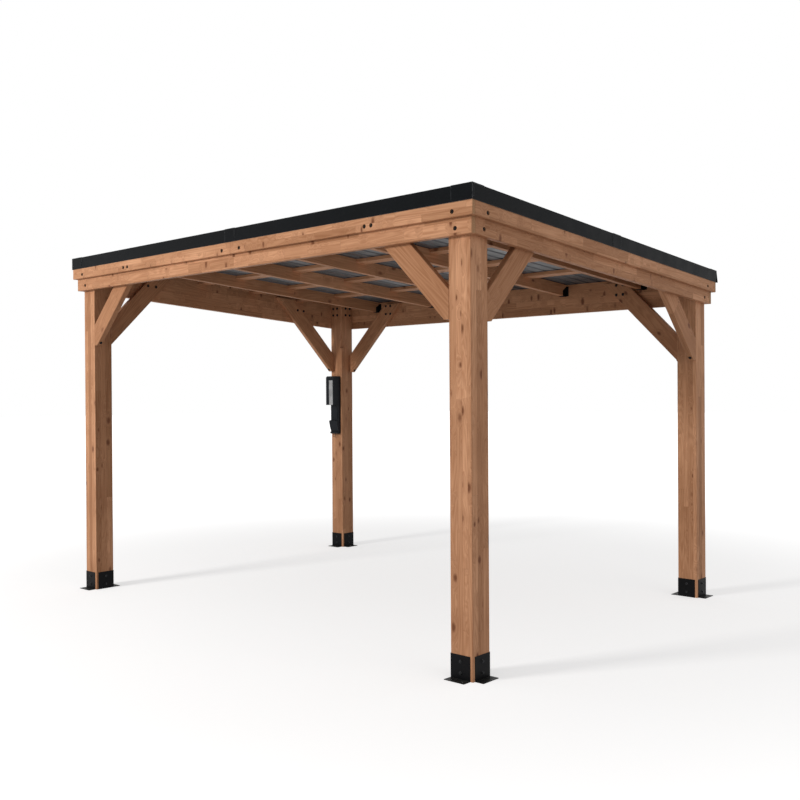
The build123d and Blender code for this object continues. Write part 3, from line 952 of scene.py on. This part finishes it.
@dataclass
class FrameBolts:
    """Dark bolts of the timber frame: in the recesses of the boards, in the braces and posts."""

    layout: Layout
    material: Material
    recess: float = 0.008
    header_rise: float = 0.035
    fascia_rise: float = 0.028
    pair_x: float = 1.175
    pair_gap: float = 0.050
    middle_x: float = 0.085
    brace_run: float = 0.505
    brace_rise: float = 0.146
    brace_gaps: Pair = (0.027, 0.036)
    across_run: float = 0.420
    across_rise: float = 0.112
    across_gap: float = 0.036
    brace_leg: float = 0.444
    foot_run: float = 0.052
    post_inset: float = 0.058
    post_rise: float = 0.157
    post_gaps: Pair = (0.027, 0.031)

    def build(self) -> None:
        """Adds the recessed bolts, and the washer-headed bolts of braces and posts."""
        for name, spots, head in (
            ("board_bolts", self.board_spots(), Head.RECESSED_BOLT),
            ("brace_bolts", self.brace_spots(), Head.WASHER_BOLT),
            ("post_bolts", self.post_spots(), Head.WASHER_BOLT),
        ):
            add_piece(name, spots.heads(head), self.material)

    def board_spots(self) -> Spots:
        """Places of the bolts in the recesses of the headers and fascias."""
        lay, spots = self.layout, Spots()
        post_x, post_y = lay.half_x - lay.post / 2, lay.half_y - lay.post / 2
        fascia_up = lay.fascia_rise + self.fascia_rise
        pair = [self.pair_x + side * self.pair_gap / 2 for side in SIDES]
        row = (post_x, *pair, self.middle_x)
        for side in SIDES:
            face = side * (lay.half_y + lay.header)
            deep = face - side * self.recess
            z = lay.level(side * lay.half_y, self.header_rise)
            for x in (-post_x, post_x):
                spots.add((x, deep, z), (0, side, 0))
            deep = side * (lay.fascia_y - self.recess)
            for x in (*row, *(-x for x in row)):
                spots.add((x, deep, lay.level(face, fascia_up)), (0, side, 0))
            for y in (-post_y, post_y):
                deep_x = side * (lay.half_x + lay.header - self.recess)
                spots.add((deep_x, y, lay.level(y, self.header_rise)), (side, 0, 0))
                deep_x = side * (lay.fascia_x - self.recess)
                spots.add((deep_x, y, lay.level(y, fascia_up)), (side, 0, 0))
        return spots

    def brace_spots(self) -> Spots:
        """Places of the bolts: four or two through each brace's head and one at its foot."""
        lay, spots = self.layout, Spots()
        half = lay.brace / 2
        drop = self.foot_run - self.brace_leg
        for side_x, side_y in CORNERS.values():
            inner_x, inner_y = side_x * (lay.half_x - lay.brace), side_y * (lay.half_y - lay.brace)
            face_x, face_y = side_x * (lay.half_x - lay.post), side_y * (lay.half_y - lay.post)
            edge_y = side_y * lay.half_y
            for a, b in product(SIDES, SIDES):
                x = face_x - side_x * (self.brace_run + a * self.brace_gaps[0])
                z = lay.level(edge_y, self.brace_rise + b * self.brace_gaps[1])
                spots.add((x, inner_y, z), (0, -side_y, 0))
            for a in SIDES:
                y = face_y - side_y * (self.across_run + a * self.across_gap)
                spots.add((inner_x, y, lay.level(y, self.across_rise)), (-side_x, 0, 0))
            x, y = face_x - side_x * self.foot_run, edge_y - side_y * half
            spots.add((x, y, lay.level(edge_y, drop)), (-side_x, 0, -1))
            x, y = side_x * (lay.half_x - half), face_y - side_y * self.foot_run
            spots.add((x, y, lay.level(face_y, drop)), (0, -side_y, -1))
        return spots

    def post_spots(self) -> Spots:
        """Places of four bolts at the top of each inner face of the posts."""
        lay, spots = self.layout, Spots()
        for (side_x, side_y), a, b in product(CORNERS.values(), SIDES, SIDES):
            shift = self.post_inset + a * self.post_gaps[0]
            z = lay.level(side_y * lay.half_y, self.post_rise + b * self.post_gaps[1])
            face_x, face_y = side_x * (lay.half_x - lay.post), side_y * (lay.half_y - lay.post)
            spots.add((face_x, side_y * (lay.half_y - shift), z), (-side_x, 0, 0))
            spots.add((side_x * (lay.half_x - shift), face_y, z), (0, -side_y, 0))
        return spots


@dataclass
class PostBases:
    """The bent brackets at the feet of the posts and the bolts through them."""

    layout: Layout
    material: Material
    bolt_material: Material
    plate: float = 0.003
    bolt_levels: Pair = (0.034, 0.092)
    bolt_shift: float = 0.006

    def dress(self) -> None:
        """Gives the brackets their textured coat."""
        paint(self.material, *(f"post_base_{corner}" for corner in CORNERS))

    def build(self) -> None:
        """Adds two bolts, one over the other, on each face of each bracket."""
        lay, spots = self.layout, Spots()
        reach = lay.post / 2 + self.plate
        for (side_x, side_y), turn, z in product(CORNERS.values(), SIDES, self.bolt_levels):
            x, y = side_x * (lay.half_x - lay.post / 2), side_y * (lay.half_y - lay.post / 2)
            shift = turn * self.bolt_shift
            spots.add((x + turn * reach, y + shift, z), (turn, 0, 0))
            spots.add((x + shift, y + turn * reach, z), (0, turn, 0))
        bolts = spots.heads(Head.BASE_BOLT)
        add_piece("base_bolts", bolts, self.bolt_material)


@dataclass
class RafterHangers:
    """The steel hangers under the rafters' ends and the nails through them."""

    layout: Layout
    material: Material
    nail_material: Material
    rafter: float = 0.038
    rafter_depth: float = 0.089
    side_gap: float = 0.483
    count: int = 5
    plate: float = 0.002
    depth: float = 0.076
    flange: float = 0.020
    flange_nails: tuple[float, ...] = (0.2, 0.5, 0.8)
    cheek_nails: tuple[Pair, ...] = ((0.014, 0.030), (0.032, 0.018))

    def dress(self) -> None:
        """Gives the hangers their coat."""
        paint(self.material, "joist_hangers")

    def build(self) -> None:
        """Adds three nails to each flange and two to each cheek of the hangers."""
        lay, spots = self.layout, Spots()
        spacing = (2 * lay.half_x - 2 * self.side_gap) / (self.count - 1)
        bottom = lay.header_height - self.rafter_depth
        for i, side, turn in product(range(self.count), SIDES, SIDES):
            end = side * lay.half_y
            seat = lay.level(end, bottom)
            middle = self.side_gap - lay.half_x + spacing * i
            cheek = middle + turn * (self.rafter / 2 + self.plate)
            x, y = cheek + turn * self.flange / 2, end - side * self.plate
            for share in self.flange_nails:
                spots.add((x, y, seat + share * self.depth), (0, -side, 0))
            for back, rise in self.cheek_nails:
                spots.add((cheek, end - side * back, seat + rise), (turn, 0, 0))
        add_piece("hanger_nails", spots.heads(Head.NAIL), self.nail_material)


@dataclass
class OutletBox:
    """The dark outlet box on the back left post, with the window of its hood."""

    body_material: Material
    window_material: Material
    metal_material: Material
    brow: float = 0.038
    frame_left: float = 0.036
    frame_right: float = 0.012
    recess: float = 0.006
    window_gap: float = 0.8 * MM
    rib_count: int = 7
    rib_reach: Pair = (0.12, 0.88)
    rib_depth: float = 4.2 * MM
    hinge_radius: float = 3.2 * MM
    hinge_place: Pair = (4.5 * MM, 2.4 * MM)
    hinge_gaps: Pair = (0.02, 0.05)
    screw_shift: float = 0.033
    screw_depth: float = 3 * MM
    screw_levels: Pair = (0.150, 0.238)
    ring_radius: float = 0.017
    ring_wire: float = 0.002
    ring_place: Place = (-0.012, -0.022, 3 * MM)
    slot: str = "outlet_plastic"

    def dress(self) -> None:
        """Gives the housing and the hood their moulded finish."""
        paint(self.body_material, "outlet_housing", "outlet_hood")

    def build(self) -> None:
        """Adds the window, the hinge barrel, the lid's screws and the ring below."""
        low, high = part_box("outlet_hood")
        house_low, house_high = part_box("outlet_housing")
        self.build_window(low, high - low)
        add_piece("outlet_hinge", self.hinge(low, high.z), self.body_material)
        screws, middle = Spots(), (house_low.x + house_high.x) / 2
        for side, rise in product(SIDES, self.screw_levels):
            x = middle + side * self.screw_shift
            screws.add((x, high.y - self.screw_depth, house_low.z + rise), (0, -1, 0))
        heads = screws.heads(Head.LID_SCREW)
        add_piece("outlet_screws", heads, self.metal_material)
        hang = np.array([middle, house_high.y, house_low.z - self.ring_radius])
        add_piece("outlet_ring", self.ring(hang + self.ring_place), self.metal_material)

    def build_window(self, low: Vector, size: Vector) -> None:
        """Adds the window in the hood's frame and its ribs, from the hood's corner and size."""
        width = size.x - self.frame_left - self.frame_right
        height = size.z - self.brow
        x = low.x + self.frame_left + width / 2
        face, gaps = low.y + self.recess, 2 * self.window_gap
        pane_steps, rib_steps = [(0, 0), (0, 3.2), (1.2, 4.4)], [(0, 0), (0, 0.8), (0.5, 1.3)]
        pane = rounded_plate(width - gaps, height - gaps, 3 * MM, pane_steps)
        rib = rounded_plate(width - 8 * MM, 2.2 * MM, 1 * MM, rib_steps)
        pane_spot, rib_spots = Spots(), Spots()
        pane_spot.add((x, face, low.z + height / 2), (0, -1, 0))
        for share in np.linspace(*self.rib_reach, self.rib_count):
            rib_spots.add((x, face - self.rib_depth, low.z + share * height), (0, -1, 0))
        add_piece("outlet_window", pane_spot.fill(pane), self.window_material)
        add_piece("outlet_window_ribs", rib_spots.fill(rib), self.window_material)

    def hinge(self, low: Vector, top: float) -> Shell:
        """Returns the hinge's barrel: an upright rod from the hood's foot to its top."""
        z = np.linspace(low.z + self.hinge_gaps[0], top - self.hinge_gaps[1], 10)
        x, y = low.x + self.hinge_place[0], low.y + self.hinge_place[1]
        path = np.stack([0 * z + x, 0 * z + y, z], -1)
        return carried_profile(self.hinge_radius * circle(12), path, np.eye(2, 3))

    def ring(self, centre: np.ndarray) -> Shell:
        """Returns the wire ring about a centre.

        Point (i, j) is the centre plus R + r cos b_j along direction i of the ring, plus
        r sin b_j along Y, for a ring of radius R and a wire of radius r.
        """
        wire = self.ring_wire * circle(10)
        out = circle(36) @ np.array([[1.0, 0, 0], [0, 0, 1.0]])
        points = centre + out[:, None] * (self.ring_radius + wire[:, :1]) + wire[:, 1:] * (0, 1, 0)
        grid = np.arange(len(out) * len(wire)).reshape(len(out), len(wire))
        after = np.roll(grid, -1, 0)
        quads = np.stack([grid, after, np.roll(after, -1, 1), np.roll(grid, -1, 1)], -1)
        return Shell(points.reshape(-1, 3), quads.reshape(-1, 4), np.zeros((0, 3), int))


# Studio


@dataclass
class Studio:
    """Pale floor, soft light and the photo's camera."""

    focal: float = 948.81
    image: int = 800
    centre: Pair = (409.43, 399.33)
    eye: Colour = (4.6968, -5.0533, 1.4257)
    yaw: float = 41.49
    pitch: float = -0.2725
    roll: float = -0.3555
    sensor: float = 36.0
    near: float = 2.6
    far: float = 7.5
    near_lift: float = 0.55
    clip_end: float = 200.0
    sky: Colour = (0.95, 0.97, 1.0)
    sky_strength: float = 0.42
    floor_half: float = 60.0
    floor_colour: Colour = (0.64, 0.625, 0.61)

    def camera(self) -> None:
        """Stands the camera where the photo was taken from, with the same field of view."""
        yaw, pitch, roll = (math.radians(a) for a in (self.yaw, self.pitch, self.roll))
        data = bpy.data.cameras.new("photo camera")
        data.sensor_width = self.sensor
        data.lens = self.focal * self.sensor / self.image
        data.shift_x = (self.image / 2 - self.centre[0]) / self.image
        data.shift_y = (self.centre[1] - self.image / 2) / self.image
        data.clip_end = self.clip_end
        camera = bpy.data.objects.new("photo camera", data)
        turn = Matrix.Rotation(yaw, 4, "Z") @ Matrix.Rotation(math.pi / 2 + pitch, 4, "X")
        turn @= Matrix.Rotation(roll, 4, "Z")
        camera.matrix_world = Matrix.Translation(self.eye) @ turn
        bpy.context.scene.collection.objects.link(camera)
        bpy.context.scene.camera = camera

    def lights(self) -> None:
        """Adds a key from the front left and a weak fill from the right."""
        for name, place, aim, size, power in (
            ("key", (-3.2, -10.2, 5.0), (0, 0, 1.2), 2.2, 660.0),
            ("fill", (9.0, -1.0, 3.2), (0, 0, 1.4), 6.0, 85.0),
        ):
            data = bpy.data.lights.new(name, "AREA")
            data.size = size
            data.energy = power
            lamp = bpy.data.objects.new(name, data)
            lamp.location = place
            lamp.visible_camera = False
            lamp.visible_glossy = name != "key"
            ray = Vector(aim) - Vector(place)
            lamp.rotation_euler = ray.to_track_quat("-Z", "Y").to_euler()
            bpy.context.scene.collection.objects.link(lamp)

    def seen(self, w: Wiring):
        """Returns 1 for the rays of the camera and of mirrored or glassy surfaces, else 0."""
        path = w.node("ShaderNodeLightPath").outputs
        mirrored = w.calc("MAXIMUM", path["Is Glossy Ray"], path["Is Transmission Ray"])
        return w.calc("MAXIMUM", path["Is Camera Ray"], mirrored)

    def world(self) -> None:
        """Makes a white background for the camera and its reflections, and a softer light."""
        world = bpy.data.worlds.new("studio")
        bpy.context.scene.world = world
        w = fresh_wiring(world)
        soft = w.node("ShaderNodeBackground", {"Color": self.sky, "Strength": self.sky_strength})
        white = w.node("ShaderNodeBackground", {"Color": (1.0, 1.0, 1.0), "Strength": 1.0})
        inputs = {0: self.seen(w), 1: soft.outputs[0], 2: white.outputs[0]}
        mixed = w.node("ShaderNodeMixShader", inputs)
        w.node("ShaderNodeOutputWorld", {"Surface": mixed.outputs[0]})

    def floor(self) -> None:
        """Lays a pale floor that keeps the shadow and looks nearly white to the camera."""
        half = self.floor_half
        corners = [(-half, -half, 0), (half, -half, 0), (half, half, 0), (-half, half, 0)]
        mesh = bpy.data.meshes.new("floor")
        mesh.from_pydata(corners, [], [(0, 1, 2, 3)])
        material = bpy.data.materials.new("pale floor")
        w = fresh_wiring(material)
        away = w.vector("LENGTH", w.node("ShaderNodeNewGeometry").outputs["Position"])
        lift = w.span(away, self.near, self.far, self.near_lift, 1.0)
        matt = w.node("ShaderNodeBsdfDiffuse", {"Color": self.floor_colour})
        strength = w.calc("MULTIPLY", self.seen(w), lift)
        glow = w.node("ShaderNodeEmission", {"Color": (1.0, 1.0, 1.0), "Strength": strength})
        both = w.node("ShaderNodeAddShader", {0: matt.outputs[0], 1: glow.outputs[0]})
        w.node("ShaderNodeOutputMaterial", {"Surface": both.outputs[0]})
        mesh.materials.append(material)
        floor = bpy.data.objects.new("floor", mesh)
        bpy.context.scene.collection.objects.link(floor)

    def build(self) -> None:
        """Sets the whole studio up."""
        self.camera()
        self.lights()
        self.world()
        self.floor()
        bpy.context.scene.view_settings.view_transform = "Standard"


def main() -> None:
    """Builds the finishes and the sub-assemblies in order."""
    logging.basicConfig(level=logging.INFO, format="%(name)s %(message)s")
    layout = Layout.from_frame()
    sheet = SteelFinish(
        "roof sheet steel",
        (0.03, 0.031, 0.033),
        (0.1, 0.103, 0.11),
        dust=0.16,
        mirror=0.4,
        backer=(0.055, 0.059, 0.065),
    )
    # The trim's pale arris coat, over a wide reach, is mostly a painted highlight along the bent
    # corners of the trim.
    trim = SteelFinish(
        "trim steel",
        (0.0025, 0.0032, 0.004),
        (0.16, 0.165, 0.17),
        relief=0.08,
        dust=0.08,
        mirror=0.07,
        edge_reach=4.0 * MM,
    )
    base = SteelFinish(
        "base bracket steel",
        (0.0045, 0.0045, 0.005),
        (0.035, 0.035, 0.037),
        peel=420.0,
        relief=0.7,
        dust=0.12,
    )
    hanger = SteelFinish("hanger steel", (0.006, 0.006, 0.0065), (0.05, 0.05, 0.05))
    bolt = SteelFinish("bolt steel", (0.008, 0.007, 0.007), (0.1, 0.09, 0.085), dust=0.1)
    grey_bolt = SteelFinish(
        "base bolt steel", (0.022, 0.022, 0.024), (0.16, 0.16, 0.16), dust=0.1, metallic=0.5
    )
    body = MouldedFinish("outlet body", (0.010, 0.012, 0.015), 0.45)
    window = MouldedFinish("outlet window", (0.42, 0.42, 0.42), 0.3)
    bolt_steel, grey_steel = bolt.material(), grey_bolt.material()
    roof = RoofSteel(layout, sheet.material(), trim.material())
    bases = PostBases(layout, base.material(), grey_steel)
    hangers = RafterHangers(layout, hanger.material(), bolt_steel)
    outlet = OutletBox(body.material(), window.material(), grey_steel)
    for part in (TimberFrame(), roof, bases, hangers, outlet):
        part.dress()
    for part in (roof, FrameBolts(layout, bolt_steel), bases, hangers, outlet, Studio()):
        part.build()


if __name__ == "__main__":
    main()
